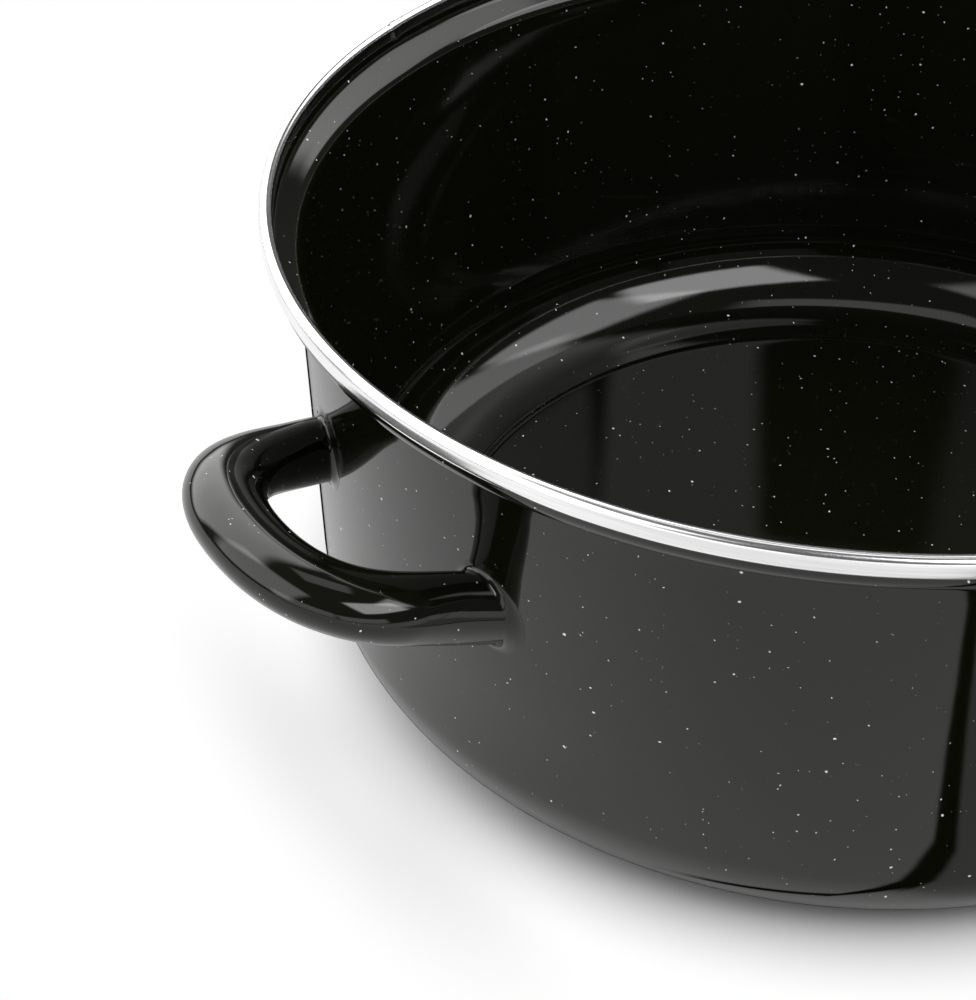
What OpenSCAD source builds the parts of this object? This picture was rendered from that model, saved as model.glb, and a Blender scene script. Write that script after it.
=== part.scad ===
// Enamelled steel casserole with a rolled steel rim band and two tubular side handles.
// Origin at the centre of the base, +Z up, handles along X. All lengths in millimetres.

/* [Rim] */
// Outside diameter over the rim band
rim_d = 250; // [180:1:340]
// Height from the table to the top of the rim band
pot_h = 105; // [94:1:200]
// Radial width of the rim band
band_w = 3; // [2.8:0.1:4.4]
// Height of the rim band
band_h = 4.5; // [4:0.1:7]
// Thickness of the steel strip that the band is rolled from
band_t = 0.45; // [0.3:0.05:0.55]
// Gap left between the two ends of the strip
seam_gap = 0.35; // [0.2:0.05:1]
// Direction of the strip's seam, in degrees from +X
seam_angle = 111; // [95:1:150]

/* [Body] */
// How far the straight wall leans outward, in degrees
wall_lean = 0.45; // [0:0.05:4]
// Outside radius of the bottom corner
corner_r = 22; // [8:0.5:40]
// Thickness of the sheet with its enamel
sheet_t = 1.4; // [1:0.1:1.6]

/* [Lid seat] */
// How far the rim stands out beyond the top of the straight wall
seat_w = 6.8; // [5.6:0.1:12]
// Angle of the sloping seat, in degrees from upright
seat_angle = 58; // [40:1:70]
// Radius of the two bends of the seat, at the middle of the sheet
seat_bend_r = 3.2; // [2:0.1:4]

/* [Base] */
// Height of the raised middle of the base above the foot ring
base_lift = 0.8; // [0.3:0.1:2]
// Width of the flat ring that the pot stands on
foot_ring_w = 3; // [1:0.5:30]
// Radius of the two bends of the step
base_bend_r = 4; // [3:0.5:8]

/* [Handles] */
// Height of the middle of a handle's feet above the table
handle_z = 65.5; // [48:0.5:72]
// How far the handle rises outward, in degrees
handle_rise = 18.4; // [0:0.2:24]
// Distance between the middles of the two feet
foot_spread = 58; // [50:1:90]
// How far each leg turns inward, in degrees
leg_turn_in = 11; // [0:0.5:14]
// Length of the straight part of a leg
leg_l = 11.5; // [8:0.5:14]
// Reach of the grip's middle line beyond the wall
handle_reach = 30.3; // [28:0.1:44]
// Pull of the corner's curve along the leg
corner_leg_pull = 11.3; // [6:0.1:14]
// Pull of the corner's curve along the grip
corner_grip_pull = 16.7; // [10:0.1:20]
// Width of a foot's oval section
foot_w = 11.6; // [9:0.1:14]
// Height of a foot's oval section
foot_h = 14.5; // [10:0.1:16]
// Width of the grip's oval section
grip_w = 16.4; // [11:0.1:18]
// Height of the grip's oval section
grip_h = 12.5; // [9:0.1:15]
// Wall thickness of the handle's tube
tube_t = 1.6; // [1:0.1:2.4]
// Radius of the enamelled weld fillet around each foot
foot_fillet = 1.9; // [1:0.1:2.4]

/* [Hidden] */
$fn = 180;
ENAMEL = [0.06, 0.06, 0.065];
STEEL = [0.82, 0.82, 0.83];

// Clearances between pieces that touch
band_clear = 0.12;
foot_clear = 0.05;
// Room between the lid seat's upper bend and the band's lower edge
neck_l = 0.3;
// Length of the band's slightly proud end at the seam, and how far it stands proud
seam_lip_l = 3.5;
seam_lip = 0.25;

// Straight steps in the arcs of the body's section
bend_steps = 6;
corner_arc_steps = 24;

// Handle sections: sides around the oval, steps along each stretch
tube_sides = 28;
fillet_steps = 5;
leg_steps = 5;
corner_steps = 17;
// Where the first upright ring stands, measured out from the wall
first_ring = 3.2;

// Places along the sheet, all at the middle of its thickness
half_t = sheet_t / 2;
neck_r = rim_d / 2 - band_w / 2;
neck_z = pot_h - band_h - neck_l;
wall_top_r = rim_d / 2 - seat_w;
wall_r = wall_top_r - half_t;
corner_mid_r = corner_r - half_t;
seat_run = neck_r - wall_r - seat_bend_r * (1 + cos(wall_lean) - 2 * cos(seat_angle));
seat_slope_l = seat_run / sin(seat_angle);
upper_bend = [neck_r - seat_bend_r, neck_z];
slope_top = upper_bend + seat_bend_r * dir(-seat_angle);
slope_bottom = slope_top - seat_slope_l * [sin(seat_angle), cos(seat_angle)];
lower_bend = slope_bottom + seat_bend_r * dir(-seat_angle);
wall_top = lower_bend - seat_bend_r * dir(-wall_lean);
corner_z = half_t + corner_mid_r;
wall_foot_z = corner_z - corner_mid_r * sin(wall_lean);
wall_foot_r = wall_top[0] - (wall_top[1] - wall_foot_z) * tan(wall_lean);
corner_c = [wall_foot_r - corner_mid_r * cos(wall_lean), corner_z];
step_turn = acos(1 - base_lift / (2 * base_bend_r));
step_half = base_bend_r * sin(step_turn);
step_c = [corner_c[0] - foot_ring_w, half_t + base_bend_r];
lift_c = [step_c[0] - 2 * step_half, half_t + base_lift - base_bend_r];

// Hollow of the rolled band, and the lip of the body that fills it
band_z = pot_h - band_h / 2;
lip_w = band_w - 2 * (band_t + band_clear);
lip_h = band_h - 2 * (band_t + band_clear);

function dir(a) = [cos(a), sin(a)];
function smooth(t) = t * t * (3 - 2 * t);
function clamp01(t) = min(1, max(0, t));

// Points of an arc about c, without its first point where skip is 1
function arc(c, r, a0, a1, steps, skip = 0) =
    [for (i = [skip : steps]) c + r * dir(a0 + (a1 - a0) * i / steps)];

// One face of the sheet, at distance out from its middle, from the base's centre to the neck
function sheet_side(out) = concat(
    [[0, half_t + base_lift - out]],
    arc(lift_c, base_bend_r - out, 90, 90 - step_turn, bend_steps),
    arc(step_c, base_bend_r + out, 270 - step_turn, 270, bend_steps, 1),
    arc(corner_c, corner_mid_r + out, -90, -wall_lean, corner_arc_steps),
    arc(lower_bend, seat_bend_r - out, 180 - wall_lean, 180 - seat_angle, bend_steps),
    arc(upper_bend, seat_bend_r + out, -seat_angle, 0, bend_steps),
    [[neck_r + out, band_z]]
);
function reversed(list) = [for (i = [len(list) - 1 : -1 : 0]) list[i]];

// Upright slot shape with round ends
module round_slot(w, h) {
    for (side = [-1, 1])
        translate([0, side * (h - w) / 2]) circle(w / 2);
    square([w, h - w], center = true);
}

// Half section of the pressed body, from the middle of the base to the lip
module body_section() {
    polygon(concat(sheet_side(half_t), reversed(sheet_side(-half_t))));
    translate([neck_r, band_z]) round_slot(lip_w, lip_h);
}

module pot_body() {
    color(ENAMEL) rotate_extrude() body_section();
}

// Slot that the body's neck passes through, from the hollow of the band downward
module neck_slot() {
    translate([-half_t - band_clear, -band_h]) square([sheet_t + 2 * band_clear, band_h]);
}

// Section of the rolled strip
module band_section() {
    translate([neck_r, band_z]) difference() {
        round_slot(band_w, band_h);
        round_slot(lip_w + 2 * band_clear, lip_h + 2 * band_clear);
        neck_slot();
    }
}

// Section of the proud end, rooted half way into the strip
module lip_section() {
    translate([neck_r, band_z]) difference() {
        round_slot(band_w + 2 * seam_lip, band_h + 2 * seam_lip);
        round_slot(band_w - band_t, band_h - band_t);
        neck_slot();
    }
}

module rim_band() {
    reach = rim_d / 2 + band_w;
    color(STEEL) rotate([0, 0, seam_angle]) difference() {
        union() {
            rotate_extrude() band_section();
            intersection() {
                rotate_extrude() lip_section();
                translate([0, 0, pot_h - 2 * band_h]) cube([reach, seam_lip_l, 3 * band_h]);
            }
        }
        translate([0, -seam_gap, pot_h - 2 * band_h]) cube([reach, seam_gap, 3 * band_h]);
    }
}

// Outside radius of the wall at height z
wall_lean_rate = tan(wall_lean);
function wall_radius(z) =
    wall_top_r + (z - wall_top[1]) * wall_lean_rate;

// Handle plane: x runs outward from the wall, y along it; both ends are mirror images
foot_turn = [cos(leg_turn_in), sin(leg_turn_in)];
leg_start = [0, -foot_spread / 2];
leg_end = leg_start + leg_l * foot_turn;
corner_a = leg_end + corner_leg_pull * foot_turn;
corner_b = [handle_reach, -corner_grip_pull];
grip_mid = [handle_reach, 0];

function bezier(t) =
    pow(1 - t, 3) * leg_end + 3 * pow(1 - t, 2) * t * corner_a
    + 3 * (1 - t) * t * t * corner_b + pow(t, 3) * grip_mid;
function bezier_run(t) =
    3 * pow(1 - t, 2) * (corner_a - leg_end) + 6 * (1 - t) * t * (corner_b - corner_a)
    + 3 * t * t * (grip_mid - corner_b);

// Rings of one half: point of the middle line and direction of travel
leg_rings = [
    for (i = [0 : leg_steps - 1])
        let (s = first_ring + (leg_l - first_ring) * i / leg_steps)
        [leg_start + s * foot_turn, foot_turn]
];
corner_rings = [
    for (i = [0 : corner_steps])
        let (t = i / corner_steps, run = bezier_run(t))
        [bezier(t), run / norm(run)]
];
half_rings = concat(leg_rings, corner_rings);
last_half = len(half_rings) - 1;
// The other half is mirrored in y and walked the other way
all_rings = concat(half_rings, [
    for (i = [last_half - 1 : -1 : 0])
        let (ring = half_rings[i])
        [[ring[0][0], -ring[0][1]], [-ring[1][0], ring[1][1]]]
]);

// Half width and half height of the oval at distance x from the wall
function oval(x) =
    let (k = smooth(clamp01(x / (handle_reach - grip_w / 2))))
    [foot_w + (grip_w - foot_w) * k, foot_h + (grip_h - foot_h) * k] / 2;

// From the handle plane to the object: out is level, up is the plane's own normal
function place(x, y, up) = [
    wall_radius(handle_z) + x * cos(handle_rise) - up * sin(handle_rise),
    y,
    handle_z + x * sin(handle_rise) + up * cos(handle_rise)
];
function oval_point(ring, a, grow) =
    let (size = oval(ring[0][0]), side = [ring[1][1], -ring[1][0]],
        off = (size[0] + grow) * cos(a), up = (size[1] + grow) * sin(a))
    place(ring[0][0] + side[0] * off, ring[0][1] + side[1] * off, up);

// Distance from p along d to the wall, which is a slight cone
function to_wall(p, d) =
    let (r = wall_radius(p[2]) + foot_clear,
        qa = d[0] * d[0] + d[1] * d[1] - pow(wall_lean_rate * d[2], 2),
        qb = p[0] * d[0] + p[1] * d[1] - wall_lean_rate * d[2] * r,
        qc = p[0] * p[0] + p[1] * p[1] - r * r)
    (-qb - sqrt(qb * qb - qa * qc)) / qa;

// One ring of a foot, at distance back from the wall and grown by grow
function foot_ring(side, grow, back, sides) =
    let (ring = side < 0 ? all_rings[0] : all_rings[len(all_rings) - 1],
        inward = place(-foot_turn[0], side * foot_turn[1], 0) - place(0, 0, 0))
    [for (i = [0 : sides - 1])
        let (p = oval_point(ring, 360 * i / sides, grow))
        p + inward * (to_wall(p, inward) - back)];

function tube_ring(ring, grow, sides) =
    [for (i = [0 : sides - 1]) oval_point(ring, 360 * i / sides, grow)];

// Concave fillet: level j of the foot, from the wall outward
function fillet_grow(j) = foot_fillet * (1 - sin(90 * j / fillet_steps));
function fillet_back(j) = foot_fillet * (1 - cos(90 * j / fillet_steps));

function outer_rings(sides) = concat(
    [for (j = [0 : fillet_steps]) foot_ring(-1, fillet_grow(j), fillet_back(j), sides)],
    [for (ring = all_rings) tube_ring(ring, 0, sides)],
    [for (j = [fillet_steps : -1 : 0]) foot_ring(1, fillet_grow(j), fillet_back(j), sides)]
);
function inner_rings(sides) = concat(
    [foot_ring(-1, -tube_t, 0, sides)],
    [for (ring = all_rings) tube_ring(ring, -tube_t, sides)],
    [foot_ring(1, -tube_t, 0, sides)]
);

// Closed skin through a loop of rings: out along the outside and back along the inside
module ring_loop(rings) {
    sides = len(rings[0]);
    count = len(rings);
    points = [for (ring = rings, p = ring) p];
    faces = [
        for (i = [0 : count - 1], j = [0 : sides - 1])
            let (next = (i + 1) % count, k = (j + 1) % sides,
                a = i * sides + j, b = i * sides + k, c = next * sides + k, d = next * sides + j)
            each [[a, b, c], [a, c, d]]
    ];
    polyhedron(points, faces);
}

// Hollow oval tube, bent to a loop and coped to the wall at both feet
module handle() {
    ring_loop(concat(outer_rings(tube_sides), reversed(inner_rings(tube_sides))));
}

module handle_left() {
    color(ENAMEL) rotate([0, 0, 180]) handle();
}

module handle_right() {
    color(ENAMEL) handle();
}

pot_body();
rim_band();
handle_left();
handle_right();
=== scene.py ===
"""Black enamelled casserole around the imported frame.

Each CAD node is replaced by a finer skin of the same form, made from the same sizes as the
part's source. Then come the enamel and steel materials, the floor, the softboxes and the camera.
"""
import math

import bpy
from mathutils import Matrix, Vector, noise


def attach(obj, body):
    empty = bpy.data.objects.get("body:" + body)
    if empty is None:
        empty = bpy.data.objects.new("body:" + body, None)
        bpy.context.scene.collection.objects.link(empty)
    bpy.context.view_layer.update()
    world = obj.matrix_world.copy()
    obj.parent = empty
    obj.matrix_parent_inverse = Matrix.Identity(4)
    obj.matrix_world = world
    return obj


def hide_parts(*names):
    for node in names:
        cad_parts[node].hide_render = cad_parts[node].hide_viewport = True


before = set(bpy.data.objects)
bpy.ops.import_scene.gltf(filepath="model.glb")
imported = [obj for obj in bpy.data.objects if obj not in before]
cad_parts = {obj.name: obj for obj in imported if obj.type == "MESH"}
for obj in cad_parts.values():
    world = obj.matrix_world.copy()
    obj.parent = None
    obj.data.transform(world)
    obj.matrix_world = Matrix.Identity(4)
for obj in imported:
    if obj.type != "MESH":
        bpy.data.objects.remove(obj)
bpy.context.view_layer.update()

MM = 0.001

# Sizes of the part, in millimetres and degrees, as in its source
RIM_D, POT_H = 250, 105
BAND_W, BAND_H, BAND_T, BAND_CLEAR = 3, 4.5, 0.45, 0.12
SEAM_GAP, SEAM_ANGLE, SEAM_LIP_L, SEAM_LIP = 0.35, 111, 3.5, 0.25
WALL_LEAN, CORNER_R, SHEET_T = 0.45, 22, 1.4
SEAT_W, SEAT_ANGLE, SEAT_BEND_R, NECK_L = 6.8, 58, 3.2, 0.3
BASE_LIFT, FOOT_RING_W, BASE_BEND_R = 0.8, 3, 4
HANDLE_Z, HANDLE_RISE, FOOT_SPREAD, LEG_TURN_IN, LEG_L = 65.5, 18.4, 58, 11, 11.5
HANDLE_REACH, CORNER_LEG_PULL, CORNER_GRIP_PULL = 30.3, 11.3, 16.7
FOOT_W, FOOT_H, GRIP_W, GRIP_H, TUBE_T, FOOT_FILLET = 11.6, 14.5, 16.4, 12.5, 1.6, 1.9

# Distance from the wall at which the handle's first whole ring lies, in millimetres
FIRST_RING = 3.2

# Fineness of the skins
TURN_STEPS = 384
BEND_STEPS, CORNER_STEPS, LONGEST_RUN = 9, 30, 3.2
SEAM_STEPS, BAND_STEPS, OUTER_RUN, INNER_RUN = 16, 460, 0.4, 0.6
TUBE_SIDES, LEG_RINGS, CORNER_RINGS, FILLET_RINGS = 72, 10, 56, 10

# How uneven the enamel lies: depth and spacing of its slow waves, in millimetres
WALL_WAVE, WALL_WAVE_L = 0.05, 26
TUBE_WAVE, TUBE_WAVE_L = 0.16, 13

# Heights at which the wall's waves set in and end, each with the height over which they fade there,
# and the same start and fade for a handle's waves along its reach, in millimetres
WAVE_LOW, WAVE_LOW_FADE, WAVE_HIGH, WAVE_HIGH_FADE = 3, 12, 98, 8
TUBE_WAVE_START, TUBE_WAVE_FADE = 3, 6

# Enamel: its black and white, the three kinds of fleck, and between which shares of a turn away from
# the eye, 1 being edge-on, its gloss gives out
BLACK, FLECK_WHITE = (0.0032, 0.0035, 0.0014, 1), (0.72, 0.72, 0.7, 1)
# Spacing and largest radius in millimetres, share of cells with a fleck, whiteness, squeeze of x, y, z
FLECKS = (
    (3.6, 0.34, 0.5, 1.0, (1.1, 0.9, 1.0)),
    (2.4, 0.21, 0.8, 0.85, (0.9, 1.0, 1.15)),
    (1.6, 0.12, 0.7, 0.5, (1.0, 1.0, 1.0)),
)
EDGE_ON = (0.7, 0.94)

# Rim steel, along its darker and brighter streaks
STEEL_DARK, STEEL_BRIGHT = (0.86, 0.86, 0.87, 1), (0.95, 0.95, 0.95, 1)

# Softboxes: azimuth and elevation in degrees, distance, width and height in metres, and radiance
SOFTBOXES = {
    "key_front_right": (-88.5, 50, 1.0, 0.68, 0.58, 5.4),
    "fill_front_right": (-41, 52, 1.0, 0.7, 0.6, 3.3),
    "low_front": (-115, 10, 1.4, 1.2, 0.45, 1.2),
    "low_front_left": (-160, 11, 1.4, 1.3, 0.5, 1.2),
    "back_right": (6, 43, 2.2, 1.85, 1.6, 2.2),
    "back_left": (98, 35, 1.1, 1.5, 1.36, 2.8),
    "left": (165, 32, 1.1, 1.25, 1.15, 2.0),
    "ceiling": (60, 80, 1.2, 0.55, 0.45, 1.0),
}

# Share of a softbox's width and height over which its light fades in from the edge
SOFT_EDGE = 0.14

# How bright the air round the studio is in what mirrors it
AIR_LEVEL = 0.1

# Floor, in metres: distances over which the shadow of the base and of a handle gives way to white, how far
# out a handle's grip hangs, and how bright the part in front of the pot mirrors, a painted shade that only
# reflections show
BASE_SHADOW = (0.106, 0.13)
HANDLE_SHADOW = (0.005, 0.024)
GRIP_X = 0.13
FRONT_REFLECTION_SHADE = 0.86

# Painted dark reflection, a dark strip in the floor that only mirrored rays see, in metres: where it would
# cross y = 0, its slant in x per y, its width and its soft edges, where and how much it curves near the
# pot, between which y it starts and ends, and how dark the floor stays to its right
STRIP_X, STRIP_SLANT = -0.0325, 0.317
STRIP_W, STRIP_EDGE, STRIP_FADE = 0.007, 0.002, 0.0025
STRIP_BEND_Y, STRIP_BEND = 0.128, 0.5
STRIP_START, STRIP_END = (-0.3, -0.24), (-0.11, -0.1)
BESIDE_STRIP = 0.45

# Thin end of the strip along the foot ring, a painted reflection of the shade at the base, in metres: its
# distance from the axis at x = 0, how that grows with x, where and how much more it grows beside the
# strip, its half width and between which x it widens, its soft edge, where it starts along x and ends
# along y, and where and to what it fades
LINE_R, LINE_SLANT = 0.1435, 0.3
LINE_TURN_X, LINE_TURN = 0.078, 1.9
LINE_HALF, LINE_WIDENS, LINE_EDGE = (0.0012, 0.008), (-0.0795, -0.069), (-0.0005, 0.001)
LINE_START, LINE_END = (-0.11, -0.09), (-0.07, -0.05)
LINE_FADE, BESIDE_LINE = (-0.07, -0.066), 0.4

# Viewpoint of the photograph, in metres: the eye, the point it looks at, the direction to its right,
# and the lens, in millimetres
EYE, LOOK_AT = (-0.27039, -0.28167, 0.32395), (-0.08036, 0.02285, 0.04)
EYE_RIGHT = (0.8377, -0.5456, -0.02446)
LENS, SENSOR_W = 76.98, 36

# Places along the sheet, at the middle of its thickness
HALF_T = SHEET_T / 2
NECK_R = RIM_D / 2 - BAND_W / 2
NECK_Z = POT_H - BAND_H - NECK_L
BAND_Z = POT_H - BAND_H / 2
WALL_TOP_R = RIM_D / 2 - SEAT_W


def cosd(a):
    return math.cos(math.radians(a))


def sind(a):
    return math.sin(math.radians(a))


def shift(point, length, angle):
    return point[0] + length * cosd(angle), point[1] + length * sind(angle)


SEAT_RUN = NECK_R - (WALL_TOP_R - HALF_T) - SEAT_BEND_R * (1 + cosd(WALL_LEAN) - 2 * cosd(SEAT_ANGLE))
UPPER_BEND = (NECK_R - SEAT_BEND_R, NECK_Z)
SLOPE_TOP = shift(UPPER_BEND, SEAT_BEND_R, -SEAT_ANGLE)
SLOPE_BOTTOM = shift(SLOPE_TOP, -SEAT_RUN / sind(SEAT_ANGLE), 90 - SEAT_ANGLE)
LOWER_BEND = shift(SLOPE_BOTTOM, SEAT_BEND_R, -SEAT_ANGLE)
WALL_TOP = shift(LOWER_BEND, -SEAT_BEND_R, -WALL_LEAN)
CORNER_MID_R = CORNER_R - HALF_T
WALL_FOOT_Z = CORNER_R - CORNER_MID_R * sind(WALL_LEAN)
WALL_LEAN_RATE = math.tan(math.radians(WALL_LEAN))
WALL_FOOT_R = WALL_TOP[0] - (WALL_TOP[1] - WALL_FOOT_Z) * WALL_LEAN_RATE
CORNER_C = (WALL_FOOT_R - CORNER_MID_R * cosd(WALL_LEAN), CORNER_R)
STEP_TURN = math.degrees(math.acos(1 - BASE_LIFT / (2 * BASE_BEND_R)))
STEP_C = (CORNER_C[0] - FOOT_RING_W, HALF_T + BASE_BEND_R)
LIFT_C = (STEP_C[0] - 2 * BASE_BEND_R * sind(STEP_TURN), HALF_T + BASE_LIFT - BASE_BEND_R)


def arc(centre, radius, start, end, steps, skip=0):
    """Points of an arc in a section, in millimetres."""
    return [shift(centre, radius, start + (end - start) * i / steps) for i in range(skip, steps + 1)]


def sheet_side(out):
    """One face of the sheet, at distance out from its middle, from the axis to the neck."""
    return (
        [(0, HALF_T + BASE_LIFT - out)]
        + arc(LIFT_C, BASE_BEND_R - out, 90, 90 - STEP_TURN, BEND_STEPS)
        + arc(STEP_C, BASE_BEND_R + out, 270 - STEP_TURN, 270, BEND_STEPS, 1)
        + arc(CORNER_C, CORNER_MID_R + out, -90, -WALL_LEAN, CORNER_STEPS)
        + arc(LOWER_BEND, SEAT_BEND_R - out, 180 - WALL_LEAN, 180 - SEAT_ANGLE, BEND_STEPS)
        + arc(UPPER_BEND, SEAT_BEND_R + out, -SEAT_ANGLE, 0, BEND_STEPS)
    )


def slot_arc(width, height, opening, steps):
    """Outline of an upright round-ended slot, open at the bottom over twice the opening."""
    radius, rise = width / 2, (height - width) / 2
    cut = math.degrees(math.asin(opening / radius))
    lower, upper = (NECK_R, BAND_Z - rise), (NECK_R, BAND_Z + rise)
    return (
        arc(lower, radius, -90 + cut, 0, steps)
        + arc(upper, radius, 0, 180, 2 * steps)
        + arc(lower, radius, 180, 270 - cut, steps)
    )


def filled_in(points, longest):
    """The same run of points, with more where two lie further apart than the longest step."""
    out = [points[0]]
    for a, b in zip(points, points[1:]):
        count = math.ceil(math.dist(a, b) / longest)
        out += [tuple(p + (q - p) * i / count for p, q in zip(a, b)) for i in range(1, count + 1)]
    return out


def clamp(value):
    """The value, held between 0 and 1."""
    return min(1, max(0, value))


def smooth(t):
    return t * t * (3 - 2 * t)


def wave(point, length):
    """Slow unevenness at a point, between 0 and 1."""
    slow = noise.noise(Vector(point) / length)
    fine = noise.noise(Vector(point) * 2.3 / length + Vector((7, 3, 5)))
    return clamp(0.5 + 0.5 * slow + 0.18 * fine)


def new_piece(name, points, faces, node, material, sharp=40):
    """A shaded mesh from points in millimetres, riding on the pot in place of a CAD node."""
    mesh = bpy.data.meshes.new(name)
    mesh.from_pydata([Vector(p) * MM for p in points], [], faces)
    mesh.validate()
    mesh.shade_smooth()
    mesh.set_sharp_from_angle(angle=math.radians(sharp))
    mesh.materials.append(material)
    piece = bpy.data.objects.new(name, mesh)
    bpy.context.scene.collection.objects.link(piece)
    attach(piece, "root")
    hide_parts(node)
    return piece


def section_normals(section):
    """Outward normals of a section that runs with the material on its left."""
    normals = []
    for i in range(len(section)):
        a, b = section[max(0, i - 1)], section[min(len(section) - 1, i + 1)]
        run = Vector((b[0] - a[0], b[1] - a[1])).normalized()
        normals.append((run.y, -run.x))
    return normals


def body_skin(material):
    """The pressed body: its section turned about the axis, with slow waves in the enamel."""
    lip_w, lip_h = (size - 2 * (BAND_T + BAND_CLEAR) for size in (BAND_W, BAND_H))
    section = sheet_side(HALF_T) + slot_arc(lip_w, lip_h, HALF_T, 3) + sheet_side(-HALF_T)[::-1]
    section = filled_in(section, LONGEST_RUN)
    normals = section_normals(section)
    points, faces, rows = [], [], []
    for (r, z), (nr, nz) in zip(section, normals):
        if r < 0.01:
            rows.append([len(points)] * TURN_STEPS)
            points.append((0, 0, z))
            continue
        rows.append(range(len(points), len(points) + TURN_STEPS))
        depth = WALL_WAVE * clamp((z - WAVE_LOW) / WAVE_LOW_FADE) * clamp((WAVE_HIGH - z) / WAVE_HIGH_FADE)
        for i in range(TURN_STEPS):
            c, s = cosd(360 * i / TURN_STEPS), sind(360 * i / TURN_STEPS)
            inward = depth * wave((r * c, r * s, z), WALL_WAVE_L)
            points.append(((r - inward * nr) * c, (r - inward * nr) * s, z - inward * nz))
    for low, high in zip(rows, rows[1:]):
        for i in range(TURN_STEPS):
            k = (i + 1) % TURN_STEPS
            face = dict.fromkeys((low[i], low[k], high[k], high[i]))
            if len(face) > 2:
                faces.append(tuple(face))
    return new_piece("pot_body_skin", points, faces, "pot_body", material)


def band_skin(material):
    """The rolled strip: an open ring with a slightly proud end at its seam."""
    opening = HALF_T + BAND_CLEAR
    outer = slot_arc(BAND_W, BAND_H, opening, 10)
    hollow = [size - 2 * BAND_T for size in (BAND_W, BAND_H)]
    inner = slot_arc(*hollow, opening, 7)[::-1]
    outer = filled_in(outer, OUTER_RUN)
    section = outer + filled_in(inner, INNER_RUN)
    normals = section_normals(section)
    gap = math.degrees(SEAM_GAP / (RIM_D / 2))
    end = math.degrees(SEAM_LIP_L / (RIM_D / 2))
    turns = [end * i / SEAM_STEPS for i in range(SEAM_STEPS)]
    turns += [end + (360 - gap - end) * i / BAND_STEPS for i in range(BAND_STEPS + 1)]
    points, faces = [], []
    for turn in turns:
        c, s = cosd(SEAM_ANGLE + turn), sind(SEAM_ANGLE + turn)
        proud = SEAM_LIP * smooth(clamp((end - turn) / (0.45 * end)))
        for i, ((r, z), (nr, nz)) in enumerate(zip(section, normals)):
            lift = proud if i < len(outer) else 0
            points.append(((r + lift * nr) * c, (r + lift * nr) * s, z + lift * nz))
    count = len(section)
    for i in range(len(turns) - 1):
        for j in range(count):
            k = (j + 1) % count
            a, b = i * count, (i + 1) * count
            faces.append((a + j, b + j, b + k, a + k))
    faces.append(tuple(range(count)))
    faces.append(tuple(range(len(points) - 1, len(points) - 1 - count, -1)))
    return new_piece("rim_band_strip", points, faces, "rim_band", material)


# Handle plane: x runs outward from the wall, y along it
FOOT_TURN = Vector((cosd(LEG_TURN_IN), sind(LEG_TURN_IN)))
LEG_START = Vector((0, -FOOT_SPREAD / 2))
LEG_END = LEG_START + LEG_L * FOOT_TURN
PULL_A = LEG_END + CORNER_LEG_PULL * FOOT_TURN
PULL_B = Vector((HANDLE_REACH, -CORNER_GRIP_PULL))
GRIP_MID = Vector((HANDLE_REACH, 0))


def corner(t):
    """Point and direction of the handle's middle line along its corner curve."""
    u = 1 - t
    point = u**3 * LEG_END + 3 * u * u * t * PULL_A + 3 * u * t * t * PULL_B + t**3 * GRIP_MID
    run = u * u * (PULL_A - LEG_END) + 2 * u * t * (PULL_B - PULL_A) + t * t * (GRIP_MID - PULL_B)
    return point, run.normalized()


def middle_line():
    """Rings of the whole handle: point of the middle line and direction of travel."""
    half = []
    for i in range(LEG_RINGS):
        along = FIRST_RING + (LEG_L - FIRST_RING) * i / LEG_RINGS
        half.append((LEG_START + along * FOOT_TURN, FOOT_TURN))
    half += [corner(i / CORNER_RINGS) for i in range(CORNER_RINGS + 1)]
    mirrored = [(Vector((p.x, -p.y)), Vector((-d.x, d.y))) for p, d in half[-2::-1]]
    return half + mirrored


def wall_radius(z):
    return WALL_TOP_R + (z - WALL_TOP[1]) * WALL_LEAN_RATE


def place(x, y, up):
    """From the handle plane to the object."""
    return Vector((
        wall_radius(HANDLE_Z) + x * cosd(HANDLE_RISE) - up * sind(HANDLE_RISE),
        y,
        HANDLE_Z + x * sind(HANDLE_RISE) + up * cosd(HANDLE_RISE),
    ))


def oval_point(ring, angle, grow):
    """Point at an angle on a ring of the tube, whose oval is wider by grow on each side."""
    point, run = ring
    k = smooth(clamp(point.x / (HANDLE_REACH - GRIP_W / 2)))
    off = ((FOOT_W + (GRIP_W - FOOT_W) * k) / 2 + grow) * cosd(angle)
    up = ((FOOT_H + (GRIP_H - FOOT_H) * k) / 2 + grow) * sind(angle)
    return place(point.x + run.y * off, point.y - run.x * off, up)


def to_wall(p, d):
    """Distance from p along d to the wall, which is a slight cone."""
    r = wall_radius(p.z)
    qa = d.x * d.x + d.y * d.y - (WALL_LEAN_RATE * d.z) ** 2
    qb = p.x * d.x + p.y * d.y - WALL_LEAN_RATE * d.z * r
    qc = p.x * p.x + p.y * p.y - r * r
    return (-qb - math.sqrt(qb * qb - qa * qc)) / qa


def foot_ring(line, side, grow, back):
    """The first or last ring, pushed along the leg until it is a distance back from the wall."""
    ring = line[0] if side < 0 else line[-1]
    inward = place(-FOOT_TURN.x, side * FOOT_TURN.y, 0) - place(0, 0, 0)
    out = []
    for i in range(TUBE_SIDES):
        p = oval_point(ring, 360 * i / TUBE_SIDES, grow)
        out.append(p + inward * (to_wall(p, inward) - back))
    return out


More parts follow.
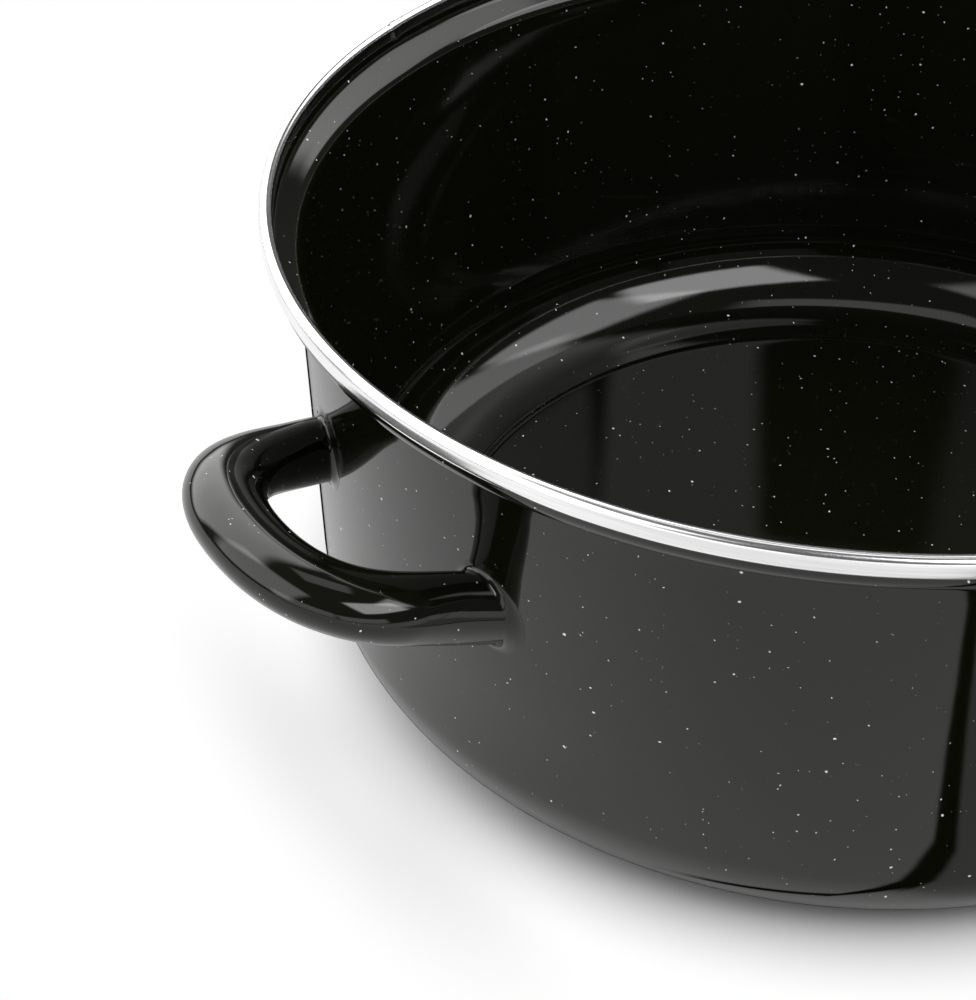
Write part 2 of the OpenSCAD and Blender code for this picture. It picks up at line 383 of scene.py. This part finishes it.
def handle_skin(name, node, turn, material):
    """Hollow oval tube bent to a loop, with weld fillets at its feet and slow waves in the enamel."""
    line = middle_line()

    def fillet(side):
        return [
            foot_ring(line, side, FOOT_FILLET * (1 - sind(90 * j / FILLET_RINGS)),
                      FOOT_FILLET * (1 - cosd(90 * j / FILLET_RINGS)))
            for j in range(FILLET_RINGS + 1)
        ]

    def tube(grow):
        return [[oval_point(ring, 360 * i / TUBE_SIDES, grow) for i in range(TUBE_SIDES)] for ring in line]

    outer = tube(0)
    for ring, (point, _) in zip(outer, line):
        middle = place(point.x, point.y, 0)
        for i, p in enumerate(ring):
            depth = TUBE_WAVE * clamp((point.x - TUBE_WAVE_START) / TUBE_WAVE_FADE)
            ring[i] = p + (middle - p).normalized() * depth * wave(p, TUBE_WAVE_L)
    inner = [foot_ring(line, -1, -TUBE_T, 0)] + tube(-TUBE_T) + [foot_ring(line, 1, -TUBE_T, 0)]
    rings = fillet(-1) + outer + fillet(1)[::-1] + inner[::-1]
    spin = Matrix.Rotation(math.radians(turn), 3, "Z")
    points = [spin @ p for ring in rings for p in ring]
    faces = []
    for i in range(len(rings)):
        k = (i + 1) % len(rings)
        for j in range(TUBE_SIDES):
            m = (j + 1) % TUBE_SIDES
            a, b = i * TUBE_SIDES, k * TUBE_SIDES
            faces.append((a + j, b + j, b + m, a + m))
    return new_piece(name, points, faces, node, material)


class Nodes:
    """Short calls for building a material's nodes."""

    def __init__(self, name):
        self.material = bpy.data.materials.new(name)
        self.material.use_nodes = True
        self.tree = self.material.node_tree
        self.surface = self.tree.nodes["Principled BSDF"]

    def add(self, kind, inputs=None, **settings):
        node = self.tree.nodes.new("ShaderNode" + kind)
        for key, value in settings.items():
            setattr(node, key, value)
        for key, value in (inputs or {}).items():
            self.put(value, node.inputs[key])
        return node

    def put(self, value, socket):
        if hasattr(value, "is_output"):
            self.tree.links.new(value, socket)
        else:
            socket.default_value = value

    def math(self, operation, a, b=0.0, c=0.0):
        return self.add("Math", {0: a, 1: b, 2: c}, operation=operation).outputs[0]

    def ramp(self, value, low, high, to_low=0.0, to_high=1.0):
        inputs = {"Value": value, "From Min": low, "From Max": high, "To Min": to_low, "To Max": to_high}
        return self.add("MapRange", inputs, interpolation_type="SMOOTHSTEP").outputs["Result"]

    def mix(self, factor, a, b):
        """A mix of two colours, whose sockets come after those of the other kinds of data."""
        return self.add("Mix", {0: factor, 6: a, 7: b}, data_type="RGBA").outputs[2]


def enamel_material():
    """Glossy black enamel with fine white flecks and a faint ripple."""
    n = Nodes("black_flecked_enamel")
    place_in = n.add("TexCoord").outputs["Object"]
    ragged = n.add("TexNoise", {"Vector": place_in, "Scale": 1900.0, "Detail": 2.0})
    offset = n.add("VectorMath", {0: ragged.outputs["Color"], 1: (0.5, 0.5, 0.5)}, operation="SUBTRACT")
    offset = n.add("VectorMath", {0: offset.outputs[0], "Scale": 0.0006}, operation="SCALE")
    ragged_place = n.add("VectorMath", {0: place_in, 1: offset.outputs[0]}).outputs[0]

    def flecks(spacing, radius, share, stretch):
        """Flecks whose centres lie a spacing apart in millimetres, up to a radius, in a share of cells."""
        moved = n.add("VectorMath", {0: ragged_place, 1: stretch}, operation="MULTIPLY").outputs[0]
        cells = n.add("TexVoronoi", {"Vector": moved, "Scale": 1000.0 / spacing})
        chance = n.add("SeparateColor", {"Color": cells.outputs["Color"]})
        size = n.ramp(chance.outputs["Red"], 0.0, 1.0, 0.35 * radius / spacing, radius / spacing)
        near = n.math("SUBTRACT", size, cells.outputs["Distance"])
        spot = n.ramp(near, 0.0, 0.06 / spacing)
        chosen = n.math("LESS_THAN", chance.outputs["Green"], share)
        return n.math("MULTIPLY", spot, chosen)

    mask = 0.0
    for spacing, radius, share, whiteness, stretch in FLECKS:
        kind = n.math("MULTIPLY", flecks(spacing, radius, share, stretch), whiteness)
        mask = n.math("MAXIMUM", mask, kind)
    n.put(n.mix(mask, BLACK, FLECK_WHITE), n.surface.inputs["Base Color"])
    n.put(0.06, n.surface.inputs["Roughness"])
    n.put(1.49, n.surface.inputs["IOR"])
    facing = n.add("LayerWeight", {"Blend": 0.5}).outputs["Facing"]
    n.put(n.ramp(facing, *EDGE_ON, 0.5, 0.0), n.surface.inputs["Specular IOR Level"])
    ripple = n.add("TexNoise", {"Vector": place_in, "Scale": 220.0, "Detail": 1.5}).outputs["Fac"]
    bump = n.add("Bump", {"Strength": 0.35, "Distance": 0.00002, "Height": ripple})
    n.put(bump.outputs["Normal"], n.surface.inputs["Normal"])
    return n.material


def steel_material():
    """Bright strip with fine streaks along its length."""
    n = Nodes("streaked_rim_steel")
    place_in = n.add("SeparateXYZ", {"Vector": n.add("TexCoord").outputs["Object"]})
    x, y, z = place_in.outputs
    radius = n.math("SQRT", n.math("ADD", n.math("MULTIPLY", x, x), n.math("MULTIPLY", y, y)))
    # A place over the rounded strip that changes along its top as along its sides
    across = n.math("ADD", z, n.math("MULTIPLY", radius, 1.37))

    def streaks(along, fineness, detail):
        """Noise drawn out round the rim: its spacing along is in turns, across in per metre."""
        round_x = n.math("MULTIPLY", n.math("DIVIDE", x, radius), along)
        round_y = n.math("MULTIPLY", n.math("DIVIDE", y, radius), along)
        over = n.math("MULTIPLY", across, fineness)
        vector = n.add("CombineXYZ", {0: round_x, 1: round_y, 2: over}).outputs[0]
        return n.add("TexNoise", {"Vector": vector, "Scale": 1.0, "Detail": detail}).outputs["Fac"]

    fine = streaks(9.0, 5200.0, 3.0)
    broad = streaks(4.0, 1300.0, 2.0)
    both = n.math("ADD", n.math("MULTIPLY", fine, 0.6), n.math("MULTIPLY", broad, 0.4))
    shade = n.ramp(both, 0.36, 0.62)
    n.put(n.mix(shade, STEEL_DARK, STEEL_BRIGHT), n.surface.inputs["Base Color"])
    n.put(1.0, n.surface.inputs["Metallic"])
    n.put(n.ramp(both, 0.35, 0.65, 0.22, 0.15), n.surface.inputs["Roughness"])
    n.put(0.5, n.surface.inputs["Anisotropic"])
    n.put(n.add("Tangent", direction_type="RADIAL", axis="Z").outputs[0], n.surface.inputs["Tangent"])
    bump = n.add("Bump", {"Strength": 0.16, "Distance": 0.00003, "Height": both})
    n.put(bump.outputs["Normal"], n.surface.inputs["Normal"])
    return n.material


def painted_dark_reflection(n, x, y, radius):
    """Mask of a painted dark reflection: a dark strip on the floor that the front wall and its foot
    mirror, and that only mirrored rays see.

    It runs towards the pot at the right, turns at the foot ring and ends as a thin line along it, a
    painted reflection of the shade at the base.
    """
    near_pot = n.math("MAXIMUM", n.math("ADD", y, STRIP_BEND_Y), 0.0)
    curve = n.math("MULTIPLY", near_pot, STRIP_BEND)
    strip_x = n.math("SUBTRACT", n.math("MULTIPLY_ADD", y, STRIP_SLANT, STRIP_X), curve)
    across = n.math("SUBTRACT", x, strip_x)
    far = n.ramp(across, STRIP_W, STRIP_W + STRIP_FADE, 1.0, BESIDE_STRIP)
    strip = n.math("MULTIPLY", n.ramp(across, 0.0, STRIP_EDGE), far)
    along = n.math("MULTIPLY", n.ramp(y, *STRIP_START), n.ramp(y, *STRIP_END, 1.0, 0.0))
    strip = n.math("MULTIPLY", strip, along)

    turned = n.math("MAXIMUM", n.math("ADD", x, LINE_TURN_X), 0.0)
    line_mid = n.math("MULTIPLY_ADD", turned, LINE_TURN, LINE_R)
    line_mid = n.math("MULTIPLY_ADD", x, LINE_SLANT, line_mid)
    line_half = n.ramp(x, *LINE_WIDENS, *LINE_HALF)
    line_away = n.math("SUBTRACT", n.math("ABSOLUTE", n.math("SUBTRACT", radius, line_mid)), line_half)
    line = n.math("MULTIPLY", n.ramp(line_away, *LINE_EDGE, 1.0, 0.0), n.ramp(x, *LINE_START))
    line = n.math("MULTIPLY", line, n.ramp(y, *LINE_END, 1.0, 0.0))
    line = n.math("MULTIPLY", line, n.ramp(x, *LINE_FADE, 1.0, BESIDE_LINE))
    return n.math("MAXIMUM", strip, line)


def floor_material():
    """Pale floor that turns plain white away from the pot's shadow.

    What mirrors the floor sees it a little dimmer in front of the pot, with a dark strip in it: painted
    shade and a painted dark reflection that only mirrored rays see.
    """
    n = Nodes("pale_floor")
    n.put((0.6, 0.6, 0.6, 1), n.surface.inputs["Base Color"])
    n.put(1.0, n.surface.inputs["Roughness"])
    n.put(0.0, n.surface.inputs["Specular IOR Level"])
    place_in = n.add("TexCoord").outputs["Object"]
    x, y, _ = n.add("SeparateXYZ", {"Vector": place_in}).outputs
    radius = n.add("VectorMath", {0: place_in}, operation="LENGTH").outputs["Value"]

    outward = n.math("SUBTRACT", n.math("ABSOLUTE", x), GRIP_X)
    under_handle = n.add("CombineXYZ", {0: outward, 1: n.math("MULTIPLY", y, 0.3)}).outputs[0]
    handle_away = n.add("VectorMath", {0: under_handle}, operation="LENGTH").outputs["Value"]
    away = n.math("MULTIPLY", n.ramp(radius, *BASE_SHADOW), n.ramp(handle_away, *HANDLE_SHADOW, 0.6, 1.0))

    path = n.add("LightPath")
    by_camera = path.outputs["Is Camera Ray"]
    mirrored = n.math("MAXIMUM", path.outputs["Is Glossy Ray"], path.outputs["Is Transmission Ray"])
    seen = n.math("MAXIMUM", mirrored, by_camera)
    # Painted dark reflection: a dark strip, and a thin line along the foot ring, that only mirrored rays
    # see
    dark = painted_dark_reflection(n, x, y, radius)
    # Painted shade in reflections: what mirrors the floor sees it dimmer in front of the pot
    front = n.math("MAXIMUM", n.ramp(y, -0.13, -0.03, FRONT_REFLECTION_SHADE, 1.0), n.ramp(y, -0.32, -0.25, 1.0, 0.0))
    painted_reflection_level = n.math("MULTIPLY", front, n.math("SUBTRACT", 1.0, dark))
    strength = n.math("MAXIMUM", by_camera, painted_reflection_level)
    white = n.add("Emission", {"Color": (1, 1, 1, 1), "Strength": strength})
    white_share = n.math("MAXIMUM", n.math("MULTIPLY", away, seen), n.math("MULTIPLY", dark, mirrored))
    mixed = n.add("MixShader", {0: white_share})
    n.tree.links.new(n.surface.outputs[0], mixed.inputs[1])
    n.tree.links.new(white.outputs[0], mixed.inputs[2])
    n.tree.links.new(mixed.outputs[0], n.tree.nodes["Material Output"].inputs["Surface"])
    return n.material


def floor():
    """One large pale floor at the height that the pot stands on."""
    half = 4.0
    mesh = bpy.data.meshes.new("floor")
    mesh.from_pydata([(x, y, 0) for x, y in ((-half, -half), (half, -half), (half, half), (-half, half))],
                     [], [(0, 1, 2, 3)])
    mesh.materials.append(floor_material())
    plane = bpy.data.objects.new("floor", mesh)
    bpy.context.scene.collection.objects.link(plane)


def soften(lamp):
    """Let a lamp's light fade in smoothly from each of its four edges."""
    lamp.use_nodes = True
    tree = lamp.node_tree
    along = tree.nodes.new("ShaderNodeSeparateXYZ")
    tree.links.new(tree.nodes.new("ShaderNodeNewGeometry").outputs["Parametric"], along.inputs[0])
    level = None
    for side in along.outputs[:2]:
        for edge_at in (0.0, 1.0):
            edge = tree.nodes.new("ShaderNodeMapRange")
            edge.interpolation_type = "SMOOTHSTEP"
            edge.inputs["From Min"].default_value = edge_at
            edge.inputs["From Max"].default_value = abs(edge_at - SOFT_EDGE)
            tree.links.new(side, edge.inputs["Value"])
            if level is None:
                level = edge.outputs[0]
                continue
            both = tree.nodes.new("ShaderNodeMath")
            both.operation = "MULTIPLY"
            tree.links.new(level, both.inputs[0])
            tree.links.new(edge.outputs[0], both.inputs[1])
            level = both.outputs[0]
    tree.links.new(level, tree.nodes["Emission"].inputs["Strength"])


def softbox(name, azimuth, elevation, distance, width, height, radiance):
    """An area lamp with soft edges that faces the pot, at an azimuth and elevation in degrees.

    Distance, width and height are in metres. Its power follows from the radiance of its face.
    """
    lamp = bpy.data.lights.new(name, "AREA")
    lamp.shape = "RECTANGLE"
    lamp.size, lamp.size_y = width, height
    lamp.energy = radiance * math.pi * width * height
    soften(lamp)
    box = bpy.data.objects.new(name, lamp)
    bpy.context.scene.collection.objects.link(box)
    away = Vector((cosd(azimuth) * cosd(elevation), sind(azimuth) * cosd(elevation), sind(elevation)))
    box.location = Vector((0, 0, 0.05)) + away * distance
    box.rotation_euler = away.to_track_quat("Z", "Y").to_euler()
    box.visible_camera = False


def studio():
    """Softboxes round the pot and dim air, which the camera alone sees as white."""
    for name, settings in SOFTBOXES.items():
        softbox(name, *settings)
    world = bpy.data.worlds.new("studio_air")
    bpy.context.scene.world = world
    world.use_nodes = True
    tree = world.node_tree
    background = tree.nodes["Background"]
    path = tree.nodes.new("ShaderNodeLightPath")
    shown = tree.nodes.new("ShaderNodeMath")
    shown.operation = "MAXIMUM"
    shown.inputs[1].default_value = AIR_LEVEL
    tree.links.new(path.outputs["Is Camera Ray"], shown.inputs[0])
    tree.links.new(shown.outputs[0], background.inputs["Strength"])
    background.inputs["Color"].default_value = (1, 1, 1, 1)


def camera():
    """The photograph's viewpoint, found from the outlines of the rim, wall, base and handle."""
    data = bpy.data.cameras.new("camera")
    data.sensor_width, data.lens = SENSOR_W, LENS
    data.clip_start = 0.01
    eye = bpy.data.objects.new("camera", data)
    bpy.context.scene.collection.objects.link(eye)
    location = Vector(EYE)
    ahead = (Vector(LOOK_AT) - location).normalized()
    right = Vector(EYE_RIGHT)
    right = (right - right.dot(ahead) * ahead).normalized()
    up = right.cross(ahead)
    eye.matrix_world = Matrix.Translation(location) @ Matrix((right, up, -ahead)).transposed().to_4x4()
    bpy.context.scene.camera = eye


enamel = enamel_material()
steel = steel_material()
body_skin(enamel)
band_skin(steel)
handle_skin("handle_left_tube", "handle_left", 180, enamel)
handle_skin("handle_right_tube", "handle_right", 0, enamel)
for name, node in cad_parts.items():
    node.data.materials.clear()
    node.data.materials.append(steel if name == "rim_band" else enamel)
floor()
studio()
camera()

scene = bpy.context.scene
scene.view_settings.view_transform = "Standard"
